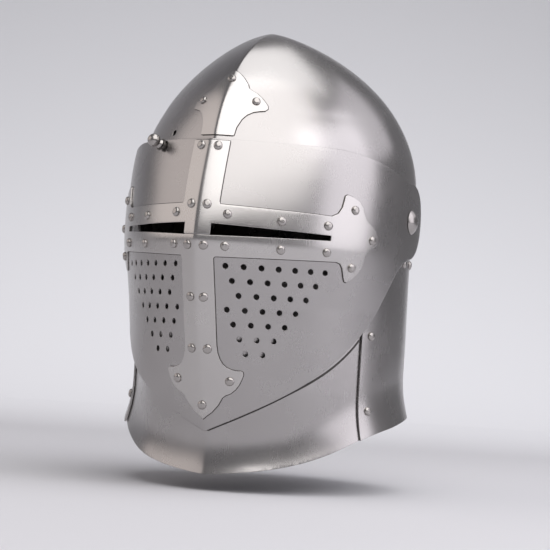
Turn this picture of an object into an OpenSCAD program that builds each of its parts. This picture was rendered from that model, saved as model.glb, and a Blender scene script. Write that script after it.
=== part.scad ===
// Close helmet of riveted steel plates with a lifting visor.
// Origin: middle of the line between the two visor pivots.
// +X is the wearer's left, -Y is the face, +Z is up.

/* [Skull] */
// Half width of the skull plate at the pivots
skull_half_w = 102.3; // [95:0.1:103]
// Radius of the front ridge about the pivot line
ridge_r = 139.2; // [130:0.1:140]
// Depth from the pivot line to the back of the head
skull_back = 118; // [112:0.5:120]
// Height of the point of the skull above the pivots
apex_z = 135.5; // [128:0.5:137]
// Thickness of the skull plate
skull_t = 1.6; // [1.2:0.1:2]
// Height of the brow edge above the eyes
brow_z = 12; // [4:1:16]

/* [Visor] */
// Thickness of the visor plate
visor_t = 1.4; // [1.2:0.1:1.6]
// Radius of the round lobe about each pivot
lobe_r = 28; // [24:0.5:30]
// Height of the visor's top edge on the ridge
visor_top = 45.7; // [40:0.1:48]
// Height of the visor's lowest point
visor_tip = -161.5; // [-164:0.5:-155]
// Thickness of the raised cross on the visor
cross_t = 1.2; // [0.8:0.1:1.6]
// Radius of a breath hole
breath_r = 2.15; // [1.5:0.05:2.6]

/* [Sight] */
// Half width of the bar between the two sights
nasal_half = 9.4; // [7:0.1:11]
// Distance from the ridge to the outer end of each sight
sight_end = 79.4; // [70:0.1:82]
// Height of the middle of the sights
sight_z = -19.1; // [-22:0.1:-16]
// Half height of a sight beside the nasal bar
sight_half = 4.45; // [3:0.05:5]
// Half height of a sight at its outer end
sight_half_end = 2.0; // [1.5:0.05:3]

/* [Neck] */
// Half width of the neck plate
neck_half_w = 101; // [100.5:0.1:101.5]
// Depth from the pivot line to the back of the neck plate
neck_back = 116.6; // [116:0.1:118]
// Thickness of the neck and chin plates
neck_t = 1.5; // [1.2:0.1:1.6]
// How far the bottom rim flares out
flare = 5; // [3:0.5:7]

/* [Pivots and rivets] */
// Radius of the pivot bolt's shank
bolt_r = 4; // [3.5:0.1:4.5]
// Radius of the pivot bolt's domed head
bolt_head_r = 9.35; // [8:0.05:10]
// Running clearance round the shank
run_gap = 0.05; // [0.02:0.01:0.08]
// Radius of a rivet head
rivet_r = 3.3; // [2.8:0.1:4]
// Height of a rivet head
rivet_h = 2.2; // [1.6:0.1:2.8]

/* [Hidden] */

round_n = 48;
// Power of the cosine that makes the plan full at the sides
full = 0.85;
// Height where the skull starts to close in
dome_z = 20.7;
// Gap left between plates that are riveted together
seat = 0.15;
// The same gap where the neck plate laps the skull
neck_seat = 0.6;
// Height above which the neck plate follows the skull, and where it leaves it
neck_hug = -42;
neck_leave = -85;

steel = [0.72, 0.71, 0.69];
dark_steel = [0.50, 0.49, 0.47];
bright_steel = [0.82, 0.81, 0.79];
leather = [0.20, 0.13, 0.09];
cloth = [0.09, 0.08, 0.08];

// ---- Curves shared by all plates ----

function clamp(v, lo, hi) = min(hi, max(lo, v));

// Slope at key i of a list of [place, value] pairs
function key_slope(keys, i) =
  let(a = max(0, i - 1), b = min(len(keys) - 1, i + 1))
  (keys[b][1] - keys[a][1]) / (keys[b][0] - keys[a][0]);

// Index of the last key that is not past v
function key_index(keys, v, i = 0) =
  i >= len(keys) - 2 || v < keys[i + 1][0] ? i : key_index(keys, v, i + 1);

// Smooth curve through the keys, level beyond both ends
function curve(keys, v_in) =
  let(
    v = clamp(v_in, keys[0][0], keys[len(keys) - 1][0]),
    i = key_index(keys, v),
    h = keys[i + 1][0] - keys[i][0],
    t = (v - keys[i][0]) / h,
    m0 = key_slope(keys, i) * h,
    m1 = key_slope(keys, i + 1) * h
  )
  (2 * t ^ 3 - 3 * t ^ 2 + 1) * keys[i][1] + (t ^ 3 - 2 * t ^ 2 + t) * m0
  + (3 * t ^ 2 - 2 * t ^ 3) * keys[i + 1][1] + (t ^ 3 - t ^ 2) * m1;

// Plan of a plate: w half width, f and r depths in front and behind, k sharpness of the ridge,
// c middle, a angle from the ridge. Positive angles are on the wearer's left.
function plan(w, f, r, k, c, a) =
  let(s = sin(a), q = cos(a))
  q >= 0
  ? [w * s, c - f * ((1 - k) * q ^ full + k * (1 - abs(s)))]
  : [w * s, c + r * (-q) ^ full];

// ---- Plate surfaces, each a point at angle a and height z, moved out by off ----

skull_ridge_k = 0.26;
skull_ridge_k_top = 0.36;

function skull_at(a, z, off = 0) =
  let(
    s = clamp((z - dome_z) / (apex_z + off - dome_z), 0, 1),
    g = max(0, 1 - s ^ 2.1) ^ (2 / 3),
    tuck = 3.8 * clamp(-z / 25, 0, 1) ^ 1.5,
    lean = sqrt(max(0, (ridge_r + off) ^ 2 - (apex_z + off) ^ 2)),
    f = sqrt(max(0, (ridge_r + off) ^ 2 - max(0, z) ^ 2)) - lean * s ^ 8 - tuck,
    k = skull_ridge_k + (skull_ridge_k_top - skull_ridge_k) * clamp((z - 20) / 50, 0, 1),
    p = plan((skull_half_w + off - tuck) * g, f, (skull_back + off - tuck) * g, k, -lean * s ^ 8, a)
  )
  [p[0], p[1], z];

visor_w_keys = [[-165, 97], [-126, 99.5], [-101, 100.8], [-65, 104.8], [-22, 108.6], [18, 108.9], [35, 107.8], [46, 106]];
beak_z = -27;
beak_y = 154;

function visor_f(z) =
  z > beak_z
  ? beak_y - 17 * ((z - beak_z) / 72.7) ^ 1.6
  : beak_y - 39.5 * ((beak_z - z) / 134.5) ^ 1.12;
function visor_k(z) = 0.29 - 0.14 * clamp((-70 - z) / 60, 0, 1);

function visor_at(a, z, off = 0) =
  let(p = plan(curve(visor_w_keys, z) + off, visor_f(z) + off, skull_back + off, visor_k(z), 0, a))
  [p[0], p[1], z];

// Height of the flared rim as a function of depth y
rim_keys = [[-116, -196], [-83, -183.5], [-39, -161], [0, -153], [47, -147.5], [125, -144.5]];

// The rim height is found from the plan at the rim
function rim_z(a) = curve(rim_keys, plan(neck_half_w, 108, neck_back, 0.2, 0, a)[1]);
function flare_at(a, z) = flare * clamp((rim_z(a) + 32 - z) / 32, 0, 1) ^ 2;

// Depth of the neck plate's plan in front
neck_f = 104;

// Eased step from 0 at v0 to 1 at v1
function ease(v, v0, v1) = let(t = clamp((v - v0) / (v1 - v0), 0, 1)) t * t * (3 - 2 * t);

// The neck plate laps the outside of the skull at its top and stands free below
function neck_at(a, z, off = 0) =
  let(
    d = off + flare_at(a, z),
    p = plan(neck_half_w + d, neck_f + d, neck_back + d, 0.2, 0, a),
    free = [p[0], p[1], z],
    lapped = skull_at(a, z, off + neck_t + neck_seat)
  )
  free + (lapped - free) * ease(z, neck_leave, neck_hug);

bevor_f_keys = [[-196, 107], [-184, 106.5], [-161, 109.5], [-126, 120], [-92, 130.5]];
// Angles where the chin plate starts to turn in, and where it lies inside the neck plate
bevor_turn = 30;
bevor_lap = 63;

function bevor_at(a, z, off = 0) =
  let(
    d = off + flare_at(a, z),
    p = plan(
      neck_half_w - neck_t - seat * 2 - 0.6 + d,
      curve(bevor_f_keys, z) - 22 * clamp((abs(a) - bevor_turn) / 60, 0, 1) ^ 1.5 + d,
      neck_back,
      visor_k(z), 0, a
    ),
    free = [p[0], p[1], z],
    lapped = neck_at(a, z, off - neck_t - seat * 2)
  )
  free + (lapped - free) * ease(abs(a), bevor_turn, bevor_lap);

// ---- Shell built from two grids of points: out and in are rows of equal length ----
// keep says which cells of the grid are there; the rest are left open.

module shell(out, in, closed = false, keep = function(r, c) true) {
  rows = len(out);
  cols = len(out[0]);
  last = closed ? cols : cols - 1;
  n = rows * cols;
  points = [for (r = out) for (p = r) p, for (r = in) for (p = r) p];
  at = function(r, c) r * cols + c % cols;
  solid = function(r, c)
    let(w = closed ? (c + last) % last : c)
    r >= 0 && r < rows - 1 && w >= 0 && w < last && keep(r, w);
  // A wall between the two faces, along the edge from i to j
  wall = function(i, j) [[j, i, n + i], [j, n + i, n + j]];
  faces = [
    for (r = [0 : rows - 2]) for (c = [0 : last - 1]) if (solid(r, c)) each [
      [at(r, c), at(r + 1, c), at(r + 1, c + 1)],
      [at(r, c), at(r + 1, c + 1), at(r, c + 1)],
      [n + at(r, c), n + at(r + 1, c + 1), n + at(r + 1, c)],
      [n + at(r, c), n + at(r, c + 1), n + at(r + 1, c + 1)],
      if (!solid(r - 1, c)) each wall(at(r, c + 1), at(r, c)),
      if (!solid(r + 1, c)) each wall(at(r + 1, c), at(r + 1, c + 1)),
      if (!solid(r, c - 1)) each wall(at(r, c), at(r + 1, c)),
      if (!solid(r, c + 1)) each wall(at(r + 1, c + 1), at(r, c + 1))
    ]
  ];
  polyhedron(points, faces, convexity = 8);
}

// ---- Fixings ----

// Puts its children at p with +Z along the direction d
module aim(p, d) {
  len_xy = norm([d[0], d[1]]);
  translate(p)
    rotate([0, atan2(len_xy, d[2]), atan2(d[1], d[0])])
      children();
}

// A rivet: domed head, shank and a flat peened end inside the plates
module rivet(grip, r = rivet_r, h = rivet_h) {
  ball = (r * r + h * h) / (2 * h);
  intersection() {
    translate([0, 0, h - ball]) sphere(r = ball, $fn = round_n);
    cylinder(r = r, h = h + 1, $fn = round_n);
  }
  translate([0, 0, -grip]) cylinder(r = 1.5, h = grip + 0.2, $fn = 24);
  translate([0, 0, -grip - 0.8]) cylinder(r = 2.6, h = 0.8, $fn = 24);
}

// Outward direction of a surface, from three points close together
function outward(p, pa, pz) = let(n = cross(pa - p, pz - p)) n / norm(n);
function visor_out(a, z) = outward(visor_at(a, z), visor_at(a + 0.5, z), visor_at(a, z + 0.5));
function skull_out(a, z) = outward(skull_at(a, z), skull_at(a + 0.5, z), skull_at(a, z + 0.5));
function neck_out(a, z) = outward(neck_at(a, z), neck_at(a + 0.5, z), neck_at(a, z + 0.5));

visor_grip = cross_t + 0.1 + visor_t + 0.1;

// A rivet through the cross and the visor
module visor_rivet(a, z, r = rivet_r, h = rivet_h) {
  n = visor_out(a, z);
  aim(visor_at(a, z) + n * (cross_t + 0.1), n) rivet(visor_grip, r, h);
}

// ---- Skull ----

brow_corner = 52;
cheek_corner = 66;
skull_low = -40;

function skull_edge(a) =
  let(
    t = clamp((abs(a) - brow_corner) / (cheek_corner - brow_corner), 0, 1),
    s = t * t * (3 - 2 * t)
  )
  brow_z + (skull_low - brow_z) * s;

skull_cols = 68;
skull_rows = 24;

// Column angles, closer together round the face opening
function skull_angle(i) = let(u = i / skull_cols * 360 - 180) u + 14 * sin(2 * u) * (abs(u) < 90 ? -0.25 : 0);

function skull_rows_at(off, top) = [
  for (j = [0 : skull_rows - 1])
    [
      for (i = [0 : skull_cols - 1])
        let(
          a = skull_angle(i),
          low = skull_edge(a),
          u = j / (skull_rows - 1),
          z = low + (top - low) * (1 - (1 - u) ^ 1.5)
        )
        skull_at(a, z, off)
    ]
];

module skull_shell() {
  color(steel)
    difference() {
      union() {
        // The plate stops just short of the point, and a small cap closes it
        shell(skull_rows_at(0, apex_z - 0.35), skull_rows_at(-skull_t, apex_z - skull_t - 0.6), true);
        skull_point();
      }
      for (side = [-1, 1])
        translate([side * skull_half_w, 0, 0])
          rotate([0, 90, 0])
            cylinder(r = bolt_r + 0.3, h = 12, center = true, $fn = round_n);
      aim(skull_at(catch_a, hole_z), skull_out(catch_a, hole_z))
        cylinder(r = 2.2, h = 8, center = true, $fn = 32);
    }
}

module skull_point() {
  lean = sqrt(ridge_r ^ 2 - apex_z ^ 2);
  translate([0, -lean, apex_z - 3.2]) cylinder(r1 = 5.2, r2 = 2.2, h = 2.9, $fn = 24);
}

// ---- Raised fleurs and bars: strips that follow a plate ----

// Half widths of the fleur at the foot of the visor, by height
base_fleur_keys = [[-152.8, 0.3], [-147.9, 6.3], [-142.7, 10.9], [-137.4, 14.2], [-135.4, 16.4], [-131.5, 23],
  [-124.1, 27.2], [-119.4, 28.6], [-117.9, 26.5], [-117.2, 20.5], [-113.5, 15.5], [-105.7, 12.2], [-98, 11.7]];
// Half widths of the fleur on the skull, by height
crest_fleur_keys = [[50.5, 12.4], [55.5, 12.8], [61.9, 15], [67.4, 19.8], [69, 25.5], [70.8, 28.4], [74.9, 25.9],
  [81.4, 19.8], [85, 13.4], [88.7, 11], [95.6, 4.4], [98.4, 0.3]];

// Straight runs between the keys, which keeps the points of a fleur sharp
function run(keys, v_in) =
  let(
    v = clamp(v_in, keys[0][0], keys[len(keys) - 1][0]),
    i = key_index(keys, v),
    t = (v - keys[i][0]) / (keys[i + 1][0] - keys[i][0])
  )
  keys[i][1] + t * (keys[i + 1][1] - keys[i][1]);

// One point of the visor at x across and z up, off the plate
function visor_xz(x, z, off) = visor_at(asin(x / (curve(visor_w_keys, z) + off)), z, off);
function skull_xz(x, z, off) =
  let(s = clamp((z - dome_z) / (apex_z + off - dome_z), 0, 1), w = (skull_half_w + off) * (1 - s ^ 2.1) ^ (2 / 3))
  skull_at(asin(x / w), z, off);

strip_cols = 8;

cross_low = 0.1;
cross_high = cross_low + cross_t;

// Down the ridge: from z0 to z1 with half widths from the keys
module ridge_strip(keys, heights, on_skull = false, min_half = 0.25) {
  function row(z, off) = [
    for (i = [-strip_cols : strip_cols])
      let(x = max(min_half, run(keys, z)) * i / strip_cols)
      on_skull ? skull_xz(x, z, off) : visor_xz(x, z, off)
  ];
  shell([for (z = heights) row(z, cross_high)], [for (z = heights) row(z, cross_low)]);
}

// Outlines of an arm above and below the middle of the sight: [angle, height]
arm_upper = [[0, 17.6], [22, 16.8], [39, 15.9], [45.7, 15.5], [48.5, 18.3], [50, 23.8], [50.9, 31.5], [53.5, 31],
  [56.6, 28], [59.4, 19.4], [61.6, 13.2], [65.5, 8.8], [67, 0.6]];
arm_lower = [[0, 18.7], [26, 18.1], [44.3, 16.3], [49.2, 16.2], [51.5, 20], [52.5, 27], [54.2, 29.8], [56.5, 27.2],
  [58.8, 22.9], [60.6, 15.5], [61.5, 11], [64.8, 4], [67, 0.4]];
stem_half = 11.7;
stem_half_top = 13.2;
nasal_gap = 0.9;
nasal_foot = -24.4;

sight_end_a = asin(sight_end / 108.6);
nasal_a = asin(nasal_half / 108.6);
arm_start = asin((stem_half_top + 0.2) / 108.6);

// Half height of the sight at an angle
function sight_at(a) =
  sight_half + (sight_half_end - sight_half) * clamp((a - nasal_a) / (sight_end_a - nasal_a), 0, 1);

// Angles of the columns of an arm, closest round the fleur
arm_angles = [arm_start, for (a = [10 : 4 : 42]) a, 45, sight_end_a, 48.5, 50, 50.9, 52.4, 53.5, 54.2, 56.5, 58.8,
  60.2, 61.6, 63.2, 64.8, 66, 67];
sight_columns = len([for (a = arm_angles) if (a < sight_end_a + 0.01) a]);
band_parts = 3;

// Heights of one column: the lower band from its bottom edge to the sight, then the upper band
function arm_heights(a) =
  let(
    top = run(arm_upper, a),
    foot = run(arm_lower, a),
    open = min(sight_at(a) + 0.6, 0.45 * min(top, foot))
  )
  concat(
    [for (j = [0 : band_parts]) sight_z - foot + (foot - open) * j / band_parts],
    [for (j = [0 : band_parts]) sight_z + open + (top - open) * j / band_parts]
  );

module cross_arm(side) {
  count = len(arm_angles);
  column = function(i) side > 0 ? i : count - 1 - i;
  rows = 2 * band_parts + 2;
  grid = function(off) [
    for (j = [0 : rows - 1]) [
      for (i = [0 : count - 1])
        let(a = arm_angles[column(i)])
        visor_at(side * a, arm_heights(a)[j], off)
    ]
  ];
  // The cells between the two bands are open as far as the end of the sight
  shell(
    grid(cross_high), grid(cross_low),
    keep = function(r, c) r != band_parts || (side > 0 ? c : count - 2 - c) >= sight_columns - 1
  );
}

// Upper limb with the nasal bar, down to a thin gap above the lower limb
module cross_head() {
  sight_top = sight_z + sight_half;
  keys = [[nasal_foot, nasal_half], [sight_top + 0.6, nasal_half], [sight_top + 1.2, stem_half_top],
    [visor_top - 1.5, stem_half_top]];
  ridge_strip(keys, [nasal_foot, -20, sight_top + 0.6, sight_top + 1.2, for (z = [-6 : 8 : 42]) z, visor_top - 1.5]);
}

// Lower limb with the fleur at its foot
module cross_foot() {
  keys = concat(base_fleur_keys, [[nasal_foot - nasal_gap, stem_half]]);
  ridge_strip(keys, [for (p = base_fleur_keys) p[0], for (z = [-88 : 10 : -28]) z, nasal_foot - nasal_gap]);
}

module visor_cross() {
  color(bright_steel) {
    for (side = [-1, 1]) cross_arm(side);
    cross_head();
    cross_foot();
  }
}

module crest_fleur() {
  color(bright_steel)
    ridge_strip(crest_fleur_keys, [for (p = crest_fleur_keys) p[0]], on_skull = true);
}

module crest_rivets() {
  color(steel)
    for (p = [[-20.2, 75.5], [20.2, 75.5], [0, 91.7]]) {
      s = clamp((p[1] - dome_z) / (apex_z - dome_z), 0, 1);
      a = asin(p[0] / (skull_half_w * (1 - s ^ 2.1) ^ (2 / 3)));
      n = skull_out(a, p[1]);
      aim(skull_at(a, p[1]) + n * cross_high, n) rivet(cross_high + skull_t + 0.3, 3.1, 2);
    }
}

// ---- Visor ----

edge_keys = [[0, visor_tip], [14.6, -150], [30.4, -135.6], [43.2, -121.7], [54.8, -105.1], [66.1, -84.7], [72.1, -68.9],
  [78, -50.5], [83.5, -36], [90, -lobe_r]];
function nominal_y(a) = plan(108, 138, skull_back, 0.29, 0, a)[1];
function visor_low(a) = abs(a) >= 90 ? -sqrt(max(0, lobe_r ^ 2 - nominal_y(a) ^ 2)) : curve(edge_keys, abs(a));
function visor_high(a) =
  abs(a) >= 90
  ? sqrt(max(0, lobe_r ^ 2 - nominal_y(a) ^ 2))
  : lobe_r + (visor_top - lobe_r) * sin(90 * clamp((-nominal_y(a) - 8) / 82, 0, 1)) ^ 1.2;

lobe_steps = 8;
front_steps = 24;
// Angle on the plan of a depth y behind the pivots
function back_angle(y) = 90 + asin((y / skull_back) ^ (1 / full));
half_angles = concat(
  [for (i = [0 : front_steps]) 90 * i / front_steps],
  [for (i = [1 : lobe_steps]) back_angle(lobe_r * min(0.9985, sin(90 * i / lobe_steps)))]
);
visor_angles = concat(
  [for (i = [len(half_angles) - 1 : -1 : 1]) -half_angles[i]],
  half_angles
);
visor_rows = 18;

function visor_grid(off) = [
  for (j = [0 : visor_rows]) [
    for (a = visor_angles)
      let(z = visor_low(a) + (visor_high(a) - visor_low(a)) * j / visor_rows)
      visor_at(a, z, off)
  ]
];

// Rows of breath holes: [how many, place of the first hole along the row]
breath_rows = [[7, 0], [6, 1 / 3], [5, 2 / 3], [5, 0], [4, 1 / 3], [3, 2 / 3], [2, 1]];
breath_pitch = 12.5;
breath_drop = 10.2;
breath_top = -44;
breath_first = 20.3;
// Angle that goes with a distance along the plate at this height
function along(d, z) = d / (curve(visor_w_keys, z) * 3.14159 / 180 * (1.04 + 0.0009 * d));

module breath_holes() {
  for (side = [-1, 1])
    for (j = [0 : len(breath_rows) - 1])
      for (i = [0 : breath_rows[j][0] - 1]) {
        z = breath_top - breath_drop * j;
        a = side * along(breath_first + breath_pitch * (i + breath_rows[j][1]), z);
        aim(visor_at(a, z), visor_out(a, z)) cylinder(r = breath_r, h = 9, center = true, $fn = 16);
      }
}

// Solid that cuts one sight through the visor plate
module sight_cut(side) {
  angles = [nasal_a, for (a = [8 : 4 : 44]) a, sight_end_a];
  parts = 1;
  function grid(off) = [
    for (j = [0 : parts]) [
      for (i = [0 : len(angles) - 1])
        let(ii = side > 0 ? i : len(angles) - 1 - i, a = angles[ii])
        visor_at(side * a, sight_z + sight_at(a) * (j * 2 - 1), off)
    ]
  ];
  shell(grid(3), grid(-5));
}

bush_r = 7;

module visor_plate() {
  color(steel)
    difference() {
      shell(visor_grid(0), visor_grid(-visor_t));
      for (side = [-1, 1]) sight_cut(side);
      breath_holes();
      for (side = [-1, 1])
        translate([side * 108, 0, 0]) rotate([0, 90, 0]) cylinder(r = bush_r + 0.02, h = 12, center = true, $fn = round_n);
      aim(catch_p, catch_dir) cylinder(r = catch_bush_r, h = 12, center = true, $fn = 32);
    }
}

module bar_rivets() {
  color(steel)
    for (side = [-1, 1])
      for (p = [[6, 40.5], [5.5, -1.7], [19, -7.8], [51.2, -10.1], [76.5, -10.5], [5.7, -30.4], [19, -30.2],
          [51.8, -30.1], [76.5, -29.3], [4.6, -66.6], [5.7, -102.9]])
        visor_rivet(side * asin(p[0] / curve(visor_w_keys, p[1])), p[1]);
}

module side_fleur_rivets() {
  color(steel)
    for (side = [-1, 1])
      for (p = [[54.8, 2.6], [64, -17.9], [55.5, -38.8]])
        visor_rivet(side * p[0], p[1]);
}

module base_fleur_rivets() {
  color(steel)
    for (p = [[-19.7, -125], [19.7, -125], [0, -143]])
      visor_rivet(asin(p[0] / curve(visor_w_keys, p[1])), p[1]);
}

// ---- Pivots ----

bush_out_x = 109;
head_x = 109.3;

// Turns a part made along +Z to point outwards at one side of the head
module pivot_side(side) {
  rotate([0, side * 90, 0]) children();
}

module pivot_bolt(side) {
  ball = (bolt_head_r ^ 2 + 4.2 ^ 2) / (2 * 4.2);
  color(bright_steel)
    pivot_side(side) {
      translate([0, 0, head_x])
        intersection() {
          translate([0, 0, 4.2 - ball]) sphere(r = ball, $fn = 64);
          cylinder(r = bolt_head_r, h = 5, $fn = 64);
        }
      translate([0, 0, 92]) cylinder(r = bolt_r, h = head_x - 92 + 0.5, $fn = round_n);
    }
}

module pivot_spacer(side) {
  color(dark_steel)
    pivot_side(side)
      translate([0, 0, skull_half_w + 0.1])
        difference() {
          cylinder(r = 10, h = 4.2, $fn = round_n);
          translate([0, 0, -1]) cylinder(r = bolt_r + run_gap, h = 7, $fn = round_n);
        }
}

module pivot_nut(side) {
  color(dark_steel)
    pivot_side(side)
      translate([0, 0, 93.5])
        difference() {
          cylinder(r = 8, h = 5.5, $fn = 6);
          translate([0, 0, -1]) cylinder(r = bolt_r + 0.01, h = 8, $fn = round_n);
        }
}

module visor_bush(side) {
  color(dark_steel)
    pivot_side(side)
      translate([0, 0, 106.9])
        difference() {
          cylinder(r = bush_r, h = bush_out_x - 106.9, $fn = round_n);
          translate([0, 0, -1]) cylinder(r = bolt_r + run_gap, h = 5, $fn = round_n);
        }
}

// ---- Catch: a ball-ended stud at the visor's edge, and its hole in the skull ----

catch_a = -26.5;
catch_z = 41.5;
hole_z = 52;
catch_bush_r = 3.1;
catch_pin_r = 1.9;
// How far the bush and the pin reach in from the plate's outer face
catch_in = 1.5;
catch_p = visor_at(catch_a, catch_z);
catch_dir = let(n = visor_out(catch_a, catch_z), d = [n[0], n[1], 0.42]) d / norm(d);

module catch_bush() {
  color(dark_steel)
    aim(catch_p, catch_dir)
      difference() {
        union() {
          translate([0, 0, -catch_in]) cylinder(r = catch_bush_r, h = 2.4 + catch_in, $fn = 32);
          translate([0, 0, 1.2]) cylinder(r = 4.3, h = 1.4, $fn = 32);
        }
        translate([0, 0, -5]) cylinder(r = catch_pin_r + run_gap, h = 12, $fn = 32);
      }
}

module catch_pin() {
  color(steel)
    aim(catch_p, catch_dir)
      translate([0, 0, -catch_in]) cylinder(r = catch_pin_r, h = 5.8 + catch_in, $fn = 32);
}

module catch_knob() {
  color(bright_steel)
    aim(catch_p, catch_dir) {
      translate([0, 0, 8.6]) sphere(r = 4.75, $fn = 48);
      translate([0, 0, 2.9]) cylinder(r1 = 3.4, r2 = 2.4, h = 2.4, $fn = 32);
    }
}

// ---- Chin plate and neck plate ----

seam_a = 64;
bevor_end = 80;
bevor_top_front = -92;
neck_top = -20;
neck_rows = 12;
neck_angles = [for (i = [0 : 40]) seam_a + (360 - 2 * seam_a) * i / 40];
// Angles past 180 are brought back so that the two halves match
function wrap(a) = a > 180 ? a - 360 : a;

function neck_grid(off) = [
  for (j = [0 : neck_rows]) [
    for (b = neck_angles)
      let(a = wrap(b), z = rim_z(a) + (neck_top - rim_z(a)) * (j / neck_rows) ^ 1.25)
      neck_at(a, z, off)
  ]
];

module neck_plate() {
  color(steel) shell(neck_grid(0), neck_grid(-neck_t));
}

module neck_rivets() {
  color(steel)
    for (i = [0 : 8])
      for (side = i == 0 ? [1] : [-1, 1]) {
        a = 180 - i * 10.6;
        n = neck_out(side * a, -31);
        aim(neck_at(side * a, -31) + n * 0.05, n) rivet(neck_t + skull_t + 1.4, 3.2, 2.1);
      }
}

module seam_rivets(side) {
  color(steel)
    for (z = [-87, -142]) {
      n = neck_out(side * 69.5, z);
      aim(neck_at(side * 69.5, z) + n * 0.05, n) rivet(neck_t * 2 + 1.6);
    }
}

bevor_rows = 12;
bevor_angles = [for (i = [-18 : 18]) bevor_end * i / 18];
function bevor_top(a) = bevor_top_front + 24 * clamp((abs(a) - 30) / 45, 0, 1);

function bevor_grid(off) = [
  for (j = [0 : bevor_rows]) [
    for (a = bevor_angles)
      let(z = rim_z(a) + (bevor_top(a) - rim_z(a)) * (j / bevor_rows) ^ 1.2)
      bevor_at(a, z, off)
  ]
];

module bevor() {
  color(steel) shell(bevor_grid(0), bevor_grid(-neck_t));
}

// ---- Lining ----

liner_gap = 1.9 + skull_t;
cap_t = 6;
cap_low = 24;

function cap_grid(off, top) = [
  for (j = [0 : 14]) [
    for (i = [0 : 39])
      let(u = j / 14, z = cap_low + (top - cap_low) * (1 - (1 - u) ^ 1.5))
      skull_at(i * 9 - 180, z, off)
  ]
];

module liner_cap() {
  color(cloth) {
    shell(cap_grid(-liner_gap, apex_z - liner_gap - 1.2), cap_grid(-liner_gap - cap_t, apex_z - liner_gap - cap_t), true);
    translate([0, -29, apex_z - liner_gap - cap_t - 3]) cylinder(r = 7, h = cap_t - 1, $fn = 24);
  }
}

// Heights of the leather band and its two offsets from the skull's outer face
band_z = [14, 19, 23.7];
band_out = -skull_t - 1.2;
band_in = -skull_t - 3.2;

module liner_band() {
  grid = function(off) [for (z = band_z) [for (i = [0 : 67]) skull_at(skull_angle(i), z, off)]];
  color(leather) shell(grid(band_out), grid(band_in), true);
}

skull_shell();
crest_fleur();
crest_rivets();
neck_plate();
neck_rivets();
bevor();
seam_rivets(1);  // seam_rivets_left
seam_rivets(-1);  // seam_rivets_right
pivot_bolt(1);  // pivot_bolt_left
pivot_bolt(-1);  // pivot_bolt_right
pivot_spacer(1);  // pivot_spacer_left
pivot_spacer(-1);  // pivot_spacer_right
pivot_nut(1);  // pivot_nut_left
pivot_nut(-1);  // pivot_nut_right
liner_cap();
liner_band();
visor_plate();
visor_cross();
bar_rivets();
side_fleur_rivets();
base_fleur_rivets();
visor_bush(1);  // visor_bush_left
visor_bush(-1);  // visor_bush_right
catch_bush();
catch_pin();
catch_knob();
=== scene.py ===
"""A polished steel close helmet with a lifting visor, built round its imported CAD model."""

import math

import bmesh
import bpy
import numpy as np
from mathutils import Matrix, Vector
from mathutils.geometry import delaunay_2d_cdt
from mathutils.kdtree import KDTree


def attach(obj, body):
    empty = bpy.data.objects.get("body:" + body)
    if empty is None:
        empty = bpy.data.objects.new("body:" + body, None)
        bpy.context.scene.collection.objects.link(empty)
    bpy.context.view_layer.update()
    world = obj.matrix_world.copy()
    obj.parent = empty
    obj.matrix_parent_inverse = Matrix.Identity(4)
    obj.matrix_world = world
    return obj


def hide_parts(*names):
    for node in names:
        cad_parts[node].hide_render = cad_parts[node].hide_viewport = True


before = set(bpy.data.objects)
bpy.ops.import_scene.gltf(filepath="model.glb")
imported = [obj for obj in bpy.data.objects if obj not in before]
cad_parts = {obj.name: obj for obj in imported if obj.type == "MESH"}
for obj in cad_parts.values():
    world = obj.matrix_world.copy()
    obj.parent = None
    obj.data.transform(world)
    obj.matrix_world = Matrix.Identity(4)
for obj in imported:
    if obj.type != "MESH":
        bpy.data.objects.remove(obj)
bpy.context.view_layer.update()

# ---------------------------------------------------------------------------
# Skull plate
# The bowl over the head, raised from one sheet of 1.6 mm steel, with a ridge
# along the middle that rises to a point, and filed round at its edges.

MM = 0.001
SKULL_HALF = 102.3
RIDGE_RADIUS = 139.2
BACK = 118.0
APEX = 135.5
DOME = 20.7
SKULL_THICK = 1.6
BROW = 12.0
CHEEK_LOW = -40.0
RIDGE_ROUND = 0.014
SHEET = 2.0  # millimetres of sheet to a degree round the head
EDGE_ROUND = 0.32
RIDGE_COLUMNS = (-2.4, -1.2, 0.0, 1.2, 2.4)  # closer columns of the mesh along the ridge
RIDGE_STEP = 1.6
RIDGE_BAND = 3.4
LEAN = math.sqrt(RIDGE_RADIUS**2 - APEX**2)


def plan(half, front, back, ridge, lean, angle):
    """Points round a horizontal cut of a plate, with a softly rounded ridge at angle 0."""
    s, q = np.sin(np.radians(angle)), np.cos(np.radians(angle))
    bend = np.abs(q) ** 0.85
    soft = np.sqrt(s * s + RIDGE_ROUND**2)
    ahead = lean - front * ((1 - ridge) * bend + ridge * (1 - soft))
    return half * s, np.where(q >= 0, ahead, lean + back * bend)


def hand_work(angle, z):
    """The slight waves that hammering and grinding leave in a raised plate, in millimetres."""
    return (
        0.11 * np.sin(angle * 0.083 + z * 0.031 + 0.6) * np.sin(z * 0.047 - angle * 0.021 + 1.1)
        + 0.05 * np.sin(angle * 0.19 - z * 0.052) * np.sin(z * 0.093 + angle * 0.07)
    )


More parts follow.
